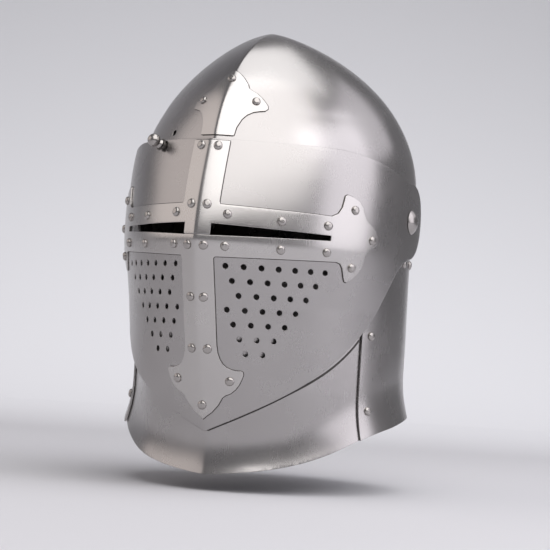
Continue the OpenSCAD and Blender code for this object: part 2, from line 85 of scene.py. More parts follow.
def skull_at(angle, z, off):
    """A point of the skull plate, off millimetres outside its outer face."""
    off = off + hand_work(angle, z) * 0.8
    s = np.clip((z - DOME) / (APEX - DOME), 0, 1)
    shrink = np.clip(1 - s**2.1, 0, 1) ** (2 / 3)
    tuck = 3.8 * np.clip(-z / 25, 0, 1) ** 1.5
    front = np.sqrt(np.clip(RIDGE_RADIUS**2 - np.clip(z, 0, None) ** 2, 0, None)) - LEAN * s**8 - tuck
    ridge = 0.26 + 0.10 * np.clip((z - 20) / 50, 0, 1)
    near = np.clip((1 - s) * 30, 0, 1)
    x, y = plan(
        (SKULL_HALF - tuck) * shrink + off * near,
        front + off * near,
        (BACK - tuck) * shrink + off * near,
        ridge, -LEAN * s**8, angle,
    )
    return x, y, z + off * (1 - shrink) * s


def dome_height(v):
    """Height that goes with a distance v up the sheet, which bends inwards over the dome."""
    turn = np.clip(v / 180, 0, 1)
    return np.where(v > 0, DOME + (APEX - DOME) * np.sin(turn * math.pi / 2), DOME + v)


def skull_sheet(angle, v, off):
    return skull_at(angle, dome_height(v), off)


def paced(points, step, closed=True):
    """The points of a line with more put between them, so that none is further than step from the next."""
    out = []
    ends = points[1:] + points[:1] if closed else points[1:]
    for a, b in zip(points, ends):
        count = max(1, math.ceil(math.dist(a, b) / step))
        out += [(a[0] + (b[0] - a[0]) * i / count, a[1] + (b[1] - a[1]) * i / count) for i in range(count)]
    return out if closed else out + [points[-1]]


def inside(points, loop):
    """Which of the points lie inside a closed loop."""
    found = np.zeros(len(points), bool)
    ends = np.roll(loop, -1, axis=0)
    for (ax, ay), (bx, by) in zip(loop, ends):
        if ay == by:
            continue
        crosses = (points[:, 1] < ay) != (points[:, 1] < by)
        found ^= crosses & (points[:, 0] < ax + (points[:, 1] - ay) / (by - ay) * (bx - ax))
    return found


def seam_free(a, b, wrap, top):
    """True where an edge of the sheet is a real edge of the plate."""
    if wrap and abs(abs(a[0]) - 180 * SHEET) < 1e-6 and abs(abs(b[0]) - 180 * SHEET) < 1e-6:
        return False
    return not (top is not None and a[1] > top - 1e-6 and b[1] > top - 1e-6)


def new_piece(name, verts, faces):
    """Makes a piece from its points, in metres, and its faces."""
    mesh = bpy.data.meshes.new(name)
    mesh.from_pydata(verts, [], faces)
    piece = bpy.data.objects.new(name, mesh)
    bpy.context.scene.collection.objects.link(piece)
    return piece


def press_plate(name, at, outline, cuts, outer, inner, step=2.6, wrap=False, top=None, edge=EDGE_ROUND):
    """Makes a plate of real thickness from an outline and cuts drawn on the flat sheet, with filed edges.
    at turns an angle and a height into a point. outer and inner are where its two faces lie. Each line
    comes with the length of its steps. wrap joins the sheet at the back, and top is where it closes up."""
    loops = [np.array(paced([(a * SHEET, v) for a, v in line], pace)) for line, pace in [outline, *cuts]]
    rim = np.vstack(loops)
    tree = KDTree(len(rim))
    for i, (u, v) in enumerate(rim):
        tree.insert((u, v, 0), i)
    tree.balance()
    low, high = loops[0].min(0), loops[0].max(0)
    rows = np.arange(low[1] + step / 2, high[1], step * 0.87)
    grid = [
        (u + (step / 2 if j % 2 else 0), v)
        for j, v in enumerate(rows)
        for u in np.arange(math.floor(low[0] / step) * step, high[0], step)
    ]
    grid += [(u, v) for v in np.arange(low[1], high[1], RIDGE_STEP) for u in RIDGE_COLUMNS]
    grid = np.array([p for p in grid if abs(p[0]) > RIDGE_BAND or p[0] in RIDGE_COLUMNS])
    grid = grid[inside(grid, loops[0])]
    for loop in loops[1:]:
        grid = grid[~inside(grid, loop)]
    clear = 0.62 * min(step, RIDGE_STEP)
    grid = [p for p in grid if tree.find((p[0], p[1], 0))[2] > clear]
    edges, start = [], 0
    for loop in loops:
        n = len(loop)
        edges += [(start + i, start + (i + 1) % n) for i in range(n)]
        start += n
    flat = [Vector(p) for p in rim] + [Vector(p) for p in grid]
    verts, _, tris, *_ = delaunay_2d_cdt(flat, edges, [], 0, 1e-5)
    verts = np.array([tuple(p) for p in verts])
    tris = np.array([t for t in tris if len(t) == 3])
    middle = verts[tris].mean(1)
    keep = inside(middle, loops[0])
    for loop in loops[1:]:
        keep &= ~inside(middle, loop)
    tris = tris[keep]
    a, b, c = (verts[tris[:, i]] for i in range(3))
    turn = (b[:, 0] - a[:, 0]) * (c[:, 1] - a[:, 1]) - (b[:, 1] - a[:, 1]) * (c[:, 0] - a[:, 0])
    tris[turn < 0] = tris[turn < 0][:, ::-1]
    used = np.unique(tris)
    place = -np.ones(len(verts), int)
    place[used] = np.arange(len(used))
    verts, tris = verts[used], place[tris]
    # Edges with a face on one side only are the plate's own edges, or its seam
    pairs = {(int(t[i]), int(t[(i + 1) % 3])) for t in tris for i in range(3)}
    open_edges = [(i, j) for i, j in pairs if (j, i) not in pairs and seam_free(verts[i], verts[j], wrap, top)]
    push = {}
    for i, j in open_edges:
        d = verts[j] - verts[i]
        out = np.array([d[1], -d[0]]) / max(1e-9, math.hypot(*d))
        for k in (i, j):
            push[k] = push.get(k, 0) + out
    n = len(verts)
    ring = sorted(push)
    order = {k: i for i, k in enumerate(ring)}
    away = np.array([push[k] / max(1e-6, np.linalg.norm(push[k])) for k in ring]).reshape(-1, 2)
    base = verts[ring] if ring else np.zeros((0, 2))
    levels = [
        (0, outer), (0.7, outer - 0.3 * edge), (1, outer - edge),
        (1, inner + edge), (0.7, inner + 0.3 * edge), (0, inner),
    ]
    points = [np.stack(at(verts[:, 0] / SHEET, verts[:, 1], off), 1) for off in (outer, inner)]
    for share, off in levels[1:-1]:
        moved = base + away * edge * share
        points.append(np.stack(at(moved[:, 0] / SHEET, moved[:, 1], off), 1))
    m = len(ring)

    def at_level(k, level):
        if level == 0:
            return k
        if level == len(levels) - 1:
            return n + k
        return 2 * n + (level - 1) * m + order[k]

    faces = [tuple(int(x) for x in t) for t in tris] + [tuple(int(x) + n for x in t[::-1]) for t in tris]
    for i, j in open_edges:
        for level in range(len(levels) - 1):
            faces.append((at_level(j, level), at_level(i, level), at_level(i, level + 1), at_level(j, level + 1)))
    piece = new_piece(name, [tuple(p * MM) for p in np.vstack(points)], faces)
    if wrap:
        work = bmesh.new()
        work.from_mesh(piece.data)
        bmesh.ops.remove_doubles(work, verts=work.verts, dist=2e-5)
        bmesh.ops.dissolve_degenerate(work, edges=work.edges, dist=1e-6)
        work.to_mesh(piece.data)
        work.free()
    smooth(piece, 50)
    return piece


def smooth(piece, degrees):
    """Shades a piece smooth, apart from edges sharper than the angle."""
    piece.data.shade_smooth()
    piece.data.set_sharp_from_angle(angle=math.radians(degrees))
    even = piece.modifiers.new("Even shading", "WEIGHTED_NORMAL")
    even.keep_sharp = True
    even.weight = 90
    return piece


def srgb(code):
    """A hex colour as the linear values that shaders take."""
    parts = [int(code[i : i + 2], 16) / 255 for i in (1, 3, 5)]
    return (*[v / 12.92 if v <= 0.04045 else ((v + 0.055) / 1.055) ** 2.4 for v in parts], 1)


def add_node(tree, kind, links=(), **settings):
    """Adds a node. A setting is a property of the node or the value of one of its inputs.
    links are (input, other node, output of the other node)."""
    node = tree.nodes.new(kind)
    for name, value in settings.items():
        if hasattr(node, name):
            setattr(node, name, value)
        else:
            node.inputs[name.replace("_", " ")].default_value = value
    for target, source, output in links:
        tree.links.new(source.outputs[output], node.inputs[target])
    return node


def new_material(name):
    """An empty material, its node tree and its shader."""
    material = bpy.data.materials.new(name)
    material.use_nodes = True
    tree = material.node_tree
    return material, tree, tree.nodes["Principled BSDF"]


def noise(tree, source, output, size_mm, detail, **settings):
    """A noise pattern with features about size_mm millimetres across."""
    links = [("Vector", source, output)]
    return add_node(tree, "ShaderNodeTexNoise", links, Scale=1 / (size_mm * MM), Detail=detail, **settings)


def two_tone(tree, pattern, dark, light):
    """A colour that goes from dark to light with a pattern."""
    return add_node(tree, "ShaderNodeMixRGB", [("Fac", pattern, 0)], Color1=srgb(dark), Color2=srgb(light))


def satin_steel(name, light, dark, rough, grain_mm=0.35, bump=0.05):
    """Mild steel ground and then polished to a satin: broad soft reflections, fine upright polishing lines,
    and slightly duller patches where hands have been."""
    material, tree, shader = new_material(name)
    place = add_node(tree, "ShaderNodeTexCoord")
    # Polishing lines run up and down: the pattern is long in Z. Real lines are 0.05 mm apart, too fine to
    # show, so they are drawn several times coarser.
    squeeze = add_node(tree, "ShaderNodeMapping", [("Vector", place, "Object")])
    squeeze.inputs["Scale"].default_value = (1, 1, 0.045)
    lines = noise(tree, squeeze, 0, grain_mm, 3.0)
    patches = noise(tree, place, "Object", 45, 3.0, Roughness=0.55)
    specks = noise(tree, place, "Object", 2.5, 4.0)
    tone = two_tone(tree, patches, dark, light)
    fine = add_node(
        tree, "ShaderNodeMixRGB", [("Color1", tone, 0), ("Color2", lines, 0)], blend_type="SOFT_LIGHT", Fac=0.06
    )
    tree.links.new(fine.outputs[0], shader.inputs["Base Color"])
    wear = add_node(tree, "ShaderNodeMapRange", [("Value", patches, 0)])
    for end, low, high in (("From", 0.3, 0.7), ("To", rough - 0.025, rough + 0.035)):
        wear.inputs[end + " Min"].default_value = low
        wear.inputs[end + " Max"].default_value = high
    streak = add_node(tree, "ShaderNodeMath", [(0, lines, 0)], operation="MULTIPLY_ADD")
    streak.inputs[1].default_value = 0.03
    tree.links.new(wear.outputs[0], streak.inputs[2])
    tree.links.new(streak.outputs[0], shader.inputs["Roughness"])
    raised = add_node(tree, "ShaderNodeBump", [("Height", lines, 0)], Strength=bump, Distance=0.02 * MM)
    pits = add_node(
        tree, "ShaderNodeBump", [("Height", specks, 0), ("Normal", raised, 0)], Strength=0.008, Distance=0.05 * MM
    )
    tree.links.new(pits.outputs[0], shader.inputs["Normal"])
    shader.inputs["Metallic"].default_value = 1.0
    return material


def finish_piece(piece, body, slot, material, *nodes):
    """Gives a piece its material, its body and the CAD nodes that it stands for. slot is not used."""
    piece.data.materials.clear()
    piece.data.materials.append(material)
    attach(piece, body)
    if nodes:
        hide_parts(*nodes)
    return piece


plate_steel = satin_steel("satin_polished_steel", "#B4B1B0", "#A9A6A5", 0.25)


def skull_edge(angle):
    """Height of the plate's lower edge: the brow, then down the cheek and level round the back."""
    t = min(1.0, max(0.0, (abs(angle) - 52) / 14))
    return BROW + (CHEEK_LOW - BROW) * t * t * (3 - 2 * t)


CATCH_ANGLE = -26.5
HOLE_HEIGHT = 52.0
HOLE_RADIUS = 2.5
lower = [(a, skull_edge(a) - DOME) for a in np.linspace(-180, 180, 241)]
skull_outline = lower + [(180, 0.0), (180, 90.0), (180, 180.0), (-180, 180.0), (-180, 90.0), (-180, 0.0)]
hole_v = math.asin((HOLE_HEIGHT - DOME) / (APEX - DOME)) / (math.pi / 2) * 180


def round_cut(angle, v, radius, wide=1.0, count=28):
    """A round hole drawn on the sheet. wide corrects for sheet that covers less than SHEET to a degree."""
    turns = [2 * math.pi * i / count for i in range(count)]
    return [(angle + radius * wide * math.cos(t) / SHEET, v + radius * math.sin(t)) for t in turns]


skull = press_plate(
    "skull_shell", skull_sheet, (skull_outline, 2.6), [(round_cut(CATCH_ANGLE, hole_v, HOLE_RADIUS, 1.1), 1.0)],
    0, -SKULL_THICK, wrap=True, top=180.0,
)
finish_piece(skull, "skull", "plate_steel", plate_steel, "skull_shell")

# ---------------------------------------------------------------------------
# Neck plate
# One sheet of 1.5 mm steel bent round the nape. It is riveted over the skull's
# lower edge and over the chin plate, and its rim is flared out by hammering.

NECK_HALF = 101.0
NECK_FRONT = 104.0
NECK_BACK = 116.6
NECK_THICK = 1.5
NECK_RATIO = 0.2
NECK_SEAT = 0.6  # room between the skull and the neck plate where they lap
LEAVE, HUG = -85, -42  # heights between which the plate closes in on the skull
FLARE = 5.0
FLARE_HIGH = 32
RIM_CUT = 0.3
SEAM = 64.0
NECK_TOP = -20.0
RIM_KEYS = [(-116, -196), (-83, -183.5), (-39, -161), (0, -153), (47, -147.5), (125, -144.5)]


def curve(keys, value):
    """A smooth curve through pairs of place and value, level beyond both ends."""
    places, values = (np.array(k, float) for k in zip(*keys))
    slopes = np.array([
        (values[min(i + 1, len(values) - 1)] - values[max(i - 1, 0)])
        / (places[min(i + 1, len(places) - 1)] - places[max(i - 1, 0)])
        for i in range(len(values))
    ])
    v = np.clip(value, places[0], places[-1])
    i = np.clip(np.searchsorted(places, v, side="right") - 1, 0, len(places) - 2)
    width = places[i + 1] - places[i]
    t = (v - places[i]) / width
    return (
        (2 * t**3 - 3 * t**2 + 1) * values[i] + (t**3 - 2 * t**2 + t) * slopes[i] * width
        + (3 * t**2 - 2 * t**3) * values[i + 1] + (t**3 - t**2) * slopes[i + 1] * width
    )


def rim_height(angle):
    return curve(RIM_KEYS, plan(NECK_HALF, 108, NECK_BACK, NECK_RATIO, 0, angle)[1])


def flare_at(angle, z):
    return FLARE * np.clip((rim_height(angle) + FLARE_HIGH - z) / FLARE_HIGH, 0, 1) ** 2


def ease(value, start, end):
    """A soft step from 0 at start to 1 at end."""
    t = np.clip((value - start) / (end - start), 0, 1)
    return t * t * (3 - 2 * t)


def neck_at(angle, z, off):
    """A point of the neck plate, which laps the skull at its top. Angles past 180 go on round the back."""
    side = np.where(np.asarray(angle) > 180, np.asarray(angle) - 360, angle)
    lap = ease(z, LEAVE, HUG)
    d = off + flare_at(side, z) + hand_work(side + 40, z) * np.clip((180 - np.abs(side)) / 20, 0, 1) * (1 - lap)
    free = plan(NECK_HALF + d, NECK_FRONT + d, NECK_BACK + d, NECK_RATIO, 0, side)
    lapped = skull_at(side, z, off + NECK_THICK + NECK_SEAT)
    return free[0] + (lapped[0] - free[0]) * lap, free[1] + (lapped[1] - free[1]) * lap, z


turns = np.linspace(SEAM, 360 - SEAM, 160)
rim_line = [(a, float(rim_height(a if a <= 180 else a - 360)) + RIM_CUT) for a in turns]
neck_outline = rim_line + [(float(a), NECK_TOP) for a in turns[::-1]]
neck = press_plate("neck_plate", neck_at, (neck_outline, 2.0), [], 0, -NECK_THICK)
finish_piece(neck, "skull", "plate_steel", plate_steel, "neck_plate")

# ---------------------------------------------------------------------------
# Chin plate
# The bevor: 1.5 mm steel with a ridge that carries on the line of the visor,
# tucked inside the neck plate at both seams and flared at the rim.

BEVOR_END = 80.0
BEVOR_TURN, BEVOR_LAP = 30, 63  # angles between which it turns in under the neck plate
BEVOR_NARROWS = 22
BEVOR_GAP = 0.3
BEVOR_FRONT = [(-196, 107), (-184, 106.5), (-161, 109.5), (-126, 120), (-92, 130.5)]


def visor_ridge(z):
    return 0.29 - 0.14 * np.clip((-70 - z) / 60, 0, 1)


def bevor_at(angle, z, off):
    """A point of the chin plate, which turns in to lie inside the neck plate at its sides."""
    d = off + flare_at(angle, z) + hand_work(angle - 30, z)
    free = plan(
        NECK_HALF - NECK_THICK - 0.9 + d,
        curve(BEVOR_FRONT, z) - BEVOR_NARROWS * np.clip((np.abs(angle) - 30) / 60, 0, 1) ** 1.5 + d,
        NECK_BACK, visor_ridge(z), 0, angle,
    )
    lapped = neck_at(angle, z, off - NECK_THICK - BEVOR_GAP)
    turn = ease(np.abs(angle), BEVOR_TURN, BEVOR_LAP)
    return free[0] + (lapped[0] - free[0]) * turn, free[1] + (lapped[1] - free[1]) * turn, z


turns = np.linspace(-BEVOR_END, BEVOR_END, 110)
rim_line = [(a, float(rim_height(a)) + RIM_CUT) for a in turns]
top_line = [(a, -92 + 24 * min(1.0, max(0.0, (abs(a) - 30) / 45))) for a in turns[::-1]]
bevor = press_plate("bevor", bevor_at, (rim_line + top_line, 2.0), [], 0, -NECK_THICK)
finish_piece(bevor, "skull", "plate_steel", plate_steel, "bevor")

# ---------------------------------------------------------------------------
# Visor plate
# One sheet of 1.4 mm steel with a keel, swung on a round lobe at each side.
# Two sights are sawn through it, and rows of breath holes are drilled and
# opened a little with a larger bit, which leaves a bright ring round each.

LOBE = 28.0
VISOR_TOP = 45.7
VISOR_TIP = -162.0
VISOR_THICK = 1.4
VISOR_HALF = [
    (-165, 97), (-126, 99.5), (-101, 100.8), (-65, 104.8), (-22, 108.6), (18, 108.9), (35, 107.8), (46, 106),
]
BEAK_Z, BEAK_Y = -27.0, 154.0
ABOVE_BEAK, BELOW_BEAK = 72.7, 134.5
EDGE_KEYS = [
    (0, VISOR_TIP), (14.6, -150), (30.4, -135.6), (43.2, -121.7), (54.8, -105.1),
    (66.1, -84.7), (72.1, -68.9), (78, -50.5), (83.5, -36), (90, -LOBE),
]
SIGHT_Z = -19.1
SIGHT_END = math.degrees(math.asin(78.4 / 108.6))
NASAL = math.degrees(math.asin(9.6 / 108.6))
SIGHT_HALF, SIGHT_NARROWS, SIGHT_SPARE = 4.5, 2.4, 0.7
BREATH_ROWS = [(7, 0), (6, 1 / 3), (5, 2 / 3), (5, 0), (4, 1 / 3), (3, 2 / 3), (2, 1)]
BREATH_RADIUS = 2.35
BREATH_START, BREATH_PITCH = 20.3, 12.5
BREATH_TOP, BREATH_DROP = -44, 10.2
BUSH_CUT_RADIUS = 7.2


def visor_at(angle, z, off):
    """A point of the visor plate, off millimetres outside its outer face."""
    z = np.asarray(z, float)
    above = np.clip((z - BEAK_Z) / ABOVE_BEAK, 0, None)
    below = np.clip((BEAK_Z - z) / BELOW_BEAK, 0, None)
    front = BEAK_Y - 17 * above**1.6 - 39.5 * below**1.12
    d = off + hand_work(angle + 15, z)
    x, y = plan(curve(VISOR_HALF, z) + d, front + d, BACK + d, visor_ridge(z), 0, angle)
    return x, y, z


def visor_top(angle):
    y = float(plan(108, 138, BACK, 0.29, 0, abs(angle))[1])
    if abs(angle) >= 90:
        return math.sqrt(max(0, LOBE**2 - y * y))
    return LOBE + (VISOR_TOP - LOBE) * math.sin(math.pi / 2 * min(1, max(0, (-y - 8) / 82))) ** 1.2


def visor_foot(angle):
    return -visor_top(angle) if abs(angle) >= 90 else float(curve(EDGE_KEYS, abs(angle)))


def lobe_angle(turn):
    """Angle on the plan of the lobe's edge, turn degrees round the pivot from the top."""
    return 90 + math.degrees(math.asin((LOBE * math.sin(math.radians(turn)) / BACK) ** (1 / 0.85)))


fronts = list(np.linspace(0, 90, 90))
lobes = [lobe_angle(t) for t in np.linspace(4, 89, 22)]
right_foot = [(a, visor_foot(a)) for a in fronts + lobes]
left_top = [(-a, visor_top(a)) for a in fronts + lobes]
visor_outline = (
    right_foot + [(a, visor_top(a)) for a in (fronts + lobes)[::-1]]
    + left_top[1:] + [(-a, visor_foot(a)) for a in (fronts + lobes)[::-1]][:-1]
)


def sight_half(angle):
    """Half height of a sight, which narrows away from the nose."""
    share = min(1, max(0, (abs(angle) - NASAL) / (SIGHT_END - NASAL)))
    return SIGHT_HALF - SIGHT_NARROWS * share


def sight_cut(side):
    """Outline of one sight, a little larger than the one in the cross over it."""
    places = np.linspace(NASAL - 0.1, SIGHT_END + 0.4, 24)
    top = [(side * a, SIGHT_Z + sight_half(a) + SIGHT_SPARE) for a in places]
    places = np.linspace(SIGHT_END + 0.4, NASAL - 0.1, 24)
    return top + [(side * a, SIGHT_Z - sight_half(a) - SIGHT_SPARE) for a in places]


def along(distance, z):
    """Angle that goes with a distance along the plate from the ridge."""
    return distance / (float(curve(VISOR_HALF, z)) * math.pi / 180 * (1.04 + 0.0009 * distance))


def breath_cut(side, row, place):
    """One breath hole, place steps out from the first of its row."""
    z = BREATH_TOP - BREATH_DROP * row
    return round_cut(side * along(BREATH_START + BREATH_PITCH * place, z), z, BREATH_RADIUS, 0.98, 26)


breath = [
    breath_cut(side, j, i + shift)
    for side in (-1, 1)
    for j, (many, shift) in enumerate(BREATH_ROWS)
    for i in range(many)
]
bush_cuts = [round_cut(side * 90, 0, BUSH_CUT_RADIUS, 0.66, 40) for side in (-1, 1)]
CATCH_HEIGHT = 41.5
CATCH_CUT_RADIUS = 3.2
catch_cut = round_cut(CATCH_ANGLE, CATCH_HEIGHT, CATCH_CUT_RADIUS, 1.0, 24)

visor = press_plate(
    "visor_plate", visor_at, (visor_outline, 1.8),
    [(cut, 1.2) for cut in (sight_cut(-1), sight_cut(1), *breath, *bush_cuts, catch_cut)],
    0, -VISOR_THICK,
)
finish_piece(visor, "visor", "plate_steel", plate_steel, "visor_plate")

# ---------------------------------------------------------------------------
# Raised cross and fleur
# Cut from 1.2 mm steel and riveted on: bars above and below the sights that
# meet in side fleurs, a limb down the ridge with a fleur at its foot, and a
# fleur of its own on the skull. Their edges are filed and catch the light.

LOW, HIGH = 0.08, 1.3
STEM, STEM_TOP = 11.7, 13.2
# Arms are given by angle and height over the sight, fleurs by distance from the ridge and height
ARM_UPPER = [
    (45.7, 15.5), (48.2, 17.9), (49.6, 22.5), (50.1, 27.5), (50.4, 31.2), (51.2, 32), (53.5, 30.9), (56.6, 28),
    (58.4, 23.8), (59.4, 19.4), (60.6, 15.6), (61.6, 13.6), (63.6, 11.6), (65.4, 9), (66.6, 5.2), (67, 1.4),
]
ARM_LOWER = [
    (66.8, -1.2), (66, -2.6), (64.8, -4), (62.6, -7.4), (61.3, -10.5), (60.8, -15.5), (59.8, -20.2),
    (58.2, -24.2), (56, -27.8), (54.1, -30.2), (53.2, -29.8), (52.6, -26), (51.9, -20.6), (50.8, -17.2),
    (49, -16.2),
]
FOOT_FLEUR = [
    (2.4, -151), (6.5, -147.9), (11, -142.7), (13.4, -138.6), (14.3, -137), (16.7, -135.2), (20.2, -133.6),
    (23.2, -130.9), (25.7, -127.4), (27.4, -123.7), (28.7, -120), (28.5, -118.4), (27, -117.7), (24, -117.7),
    (20.9, -117.1), (18, -115.8), (15.6, -113.6), (13.6, -110.2), (12.3, -105.7), (11.8, -100),
]
CREST_FLEUR = [
    (12.4, 49.5), (12.8, 55.5), (14.8, 61.9), (17.3, 65.6), (20.7, 68.1), (24.5, 69.2), (27.4, 69.7),
    (28.5, 71.2), (27.6, 73.6), (25.5, 76), (22.6, 79), (19.4, 81.6), (15.6, 83.6), (13, 85.3), (11.6, 88.4),
    (8, 92.6), (4.4, 96),
]


def across(x, z):
    """Angle of a point x millimetres from the ridge at this height of the visor."""
    return math.degrees(math.asin(x / float(curve(VISOR_HALF, z))))


def mirrored(points):
    """The same points on the other side, in the opposite order."""
    return [(-a, z) for a, z in points[::-1]]


def arm_side():
    """The cross's outline on one side, from the tip of its foot to the top of its upper limb."""
    foot = [(across(x, z), z) for x, z in FOOT_FLEUR]
    corner = [(across(STEM, -39), -39.2), (across(STEM + 1.2, -37.8), -37.8)]
    bar_foot = [(a, SIGHT_Z - 18.7 + 2.5 * (a - 8) / 41) for a in (14, 22, 30, 38, 44)]
    lower = [(a, SIGHT_Z + h) for a, h in ARM_LOWER[::-1]]
    upper = [(a, SIGHT_Z + h) for a, h in ARM_UPPER[::-1]]
    bar_top = [(a, SIGHT_Z + 17.7 - 2.1 * (a - 8) / 38) for a in (42, 34, 26, 18, 10)]
    stem = [
        (across(STEM_TOP + 0.8, -1.2), -1.2), (across(STEM_TOP, 0), 0.4),
        (across(STEM_TOP, VISOR_TOP - 2), VISOR_TOP - 1.2),
    ]
    return foot + corner + bar_foot + lower + upper + bar_top + stem


side_line = arm_side()
cross_outline = [(0, -153.2)] + side_line + mirrored(side_line)
sight_line = [(a, SIGHT_Z + sight_half(a)) for a in np.linspace(NASAL, SIGHT_END, 20)]
sight_line += [(a, SIGHT_Z - sight_half(a)) for a in np.linspace(SIGHT_END, NASAL, 20)]
NASAL_FOOT = -22.6
sights = [(NASAL, NASAL_FOOT)] + sight_line
sights = sights + mirrored(sights)
TRIM_EDGE = 0.28
cross = press_plate(
    "visor_cross", visor_at, (cross_outline, 1.4), [(sights, 1.4)], HIGH, LOW, step=2.2, edge=TRIM_EDGE
)
# The trim steel is lighter than the plate steel: a painted highlight for the light that the cross's upper arms catch
trim_steel = satin_steel("filed_steel_painted_highlight", "#C8C5C3", "#BAB7B5", 0.24, grain_mm=0.4)
finish_piece(cross, "visor", "trim_steel", trim_steel, "visor_cross")


def skull_across(x, z):
    shrink = (1 - max(0.0, (z - DOME) / (APEX - DOME)) ** 2.1) ** (2 / 3)
    return math.degrees(math.asin(x / (SKULL_HALF * shrink)))


fleur_side = [(skull_across(x, z), z) for x, z in CREST_FLEUR]
crest_outline = fleur_side + [(0, 98.6)] + mirrored(fleur_side)
crest = press_plate("crest_fleur", skull_at, (crest_outline, 1.4), [], HIGH, LOW, step=2.0, edge=TRIM_EDGE)
finish_piece(crest, "skull", "trim_steel", trim_steel, "crest_fleur")

# ---------------------------------------------------------------------------
# Rivets
# Round-headed mild steel rivets, 6.6 mm over the head, set by hand with a cup
# tool: each head is a little uneven, with a small flat from the last blow.

rivet_steel = satin_steel("hand_set_rivet_steel", "#BDB9B6", "#9D9996", 0.24, grain_mm=0.5, bump=0.02)
random = np.random.default_rng(7)


def facing(at, angle, z, off=0.0):
    """A point of a plate, and the outward direction there."""
    steps = ((0, 0), (0.4, 0), (0, 0.4))
    p, a, b = (np.array([float(v) for v in at(angle + da, z + dz, off)]) for da, dz in steps)
    n = np.cross(a - p, b - p)
    return p, n / np.linalg.norm(n)


def rivet_mesh(verts, faces, p, n, radius, height, grip):
    """Adds one rivet: a domed head with a filed foot, and the flat closed end inside the plates."""
    turns, rings = 28, 9
    turned = Vector(n).to_track_quat("Z", "Y").to_matrix()

    def put(x, y, h):
        verts.append(tuple((p + np.array(turned @ Vector((x, y, h)))) * MM))

    lean = random.uniform(-0.05, 0.05, 2)
    squash = 1 + random.uniform(-0.05, 0.05)
    flat = random.uniform(0.86, 0.95)
    phase = random.uniform(0, 6.28)
    profile = [(radius * 0.97, -0.15), (radius, 0.12)]
    for i in range(1, rings):
        t = math.pi / 2 * i / rings
        profile.append((radius * math.cos(t) ** 0.9, min(height * flat, 0.12 + (height - 0.12) * math.sin(t))))
    start = len(verts)
    for r, h in profile:
        for k in range(turns):
            t = 2 * math.pi * k / turns
            wobble = 1 + 0.025 * math.cos(2 * t + phase) + 0.012 * math.cos(3 * t - phase)
            x, y = r * wobble * math.cos(t) * squash, r * wobble * math.sin(t)
            put(x + lean[0] * h, y + lean[1] * h, h)
    top = len(verts)
    put(lean[0] * height, lean[1] * height, height * flat)
    for j in range(len(profile) - 1):
        for k in range(turns):
            a, b = start + j * turns + k, start + j * turns + (k + 1) % turns
            faces.append((a, b, b + turns, a + turns))
    last = start + (len(profile) - 1) * turns
    faces += [(last + k, last + (k + 1) % turns, top) for k in range(turns)]
    # Shank and closed end, behind the plates
    shank = [(1.5, -0.15), (1.5, -grip), (2.5, -grip), (2.6, -grip - 0.5), (2.2, -grip - 0.9)]
    begin = len(verts)
    for r, h in shank:
        for k in range(turns):
            t = 2 * math.pi * k / turns
            put(r * math.cos(t), r * math.sin(t), h)
    foot = len(verts)
    put(0, 0, -grip - 0.9)
    for k in range(turns):
        a, b = start + k, start + (k + 1) % turns
        faces.append((b, a, begin + k, begin + (k + 1) % turns))
    for j in range(len(shank) - 1):
        for k in range(turns):
            a, b = begin + j * turns + k, begin + j * turns + (k + 1) % turns
            faces.append((b, a, a + turns, b + turns))
    last = begin + (len(shank) - 1) * turns
    faces += [(last + (k + 1) % turns, last + k, foot) for k in range(turns)]


def rivet_group(name, body, at, places, lift, radius, height, grip):
    """All rivets of one row or fleur as one piece, which stands for the CAD node of the same name."""
    verts, faces = [], []
    for angle, z in places:
        p, n = facing(at, angle, z)
        rivet_mesh(verts, faces, p + n * lift, n, radius, height, grip)
    piece = smooth(new_piece(name, verts, faces), 45)
    return finish_piece(piece, body, "rivet_steel", rivet_steel, name)


BAR_PLACES = [
    (6, 40.5), (5.5, -1.7), (19, -7.8), (51.2, -10.1), (76.5, -10.5), (5.7, -30.4), (19, -30.2),
    (51.8, -30.1), (76.5, -29.3), (4.6, -66.6), (5.7, -102.9),
]
NAPE_PITCH, NAPE_Z = 10.6, -31
bars = [(side * across(x, z), z) for side in (-1, 1) for x, z in BAR_PLACES]
sides = [(side * a, z) for side in (-1, 1) for a, z in ((54.8, 2.6), (64, -17.9), (55.5, -38.8))]
foot = [(across(x, z), z) for x, z in ((-19.7, -125), (19.7, -125), (0, -143))]
crest_places = [(skull_across(x, z), z) for x, z in ((-20.2, 75.5), (20.2, 75.5), (0, 91.7))]
rivet_group("bar_rivets", "visor", visor_at, bars, HIGH, 3.3, 2.2, 3.0)
rivet_group("side_fleur_rivets", "visor", visor_at, sides, HIGH, 3.3, 2.2, 3.0)
rivet_group("base_fleur_rivets", "visor", visor_at, foot, HIGH, 3.3, 2.2, 3.0)
rivet_group("crest_rivets", "skull", skull_at, crest_places, HIGH, 3.1, 2.0, 3.2)
nape = [(180 - NAPE_PITCH * i, NAPE_Z) for i in range(9)]
nape += [(-(180 - NAPE_PITCH * i), NAPE_Z) for i in range(1, 9)]
rivet_group("neck_rivets", "skull", neck_at, nape, 0.05, 3.2, 2.1, 4.5)
for side, word in ((1, "left"), (-1, "right")):
    places = [(side * 69.5, z) for z in (-87, -142)]
    rivet_group(f"seam_rivets_{word}", "skull", neck_at, places, 0.05, 3.3, 2.2, 4.6)
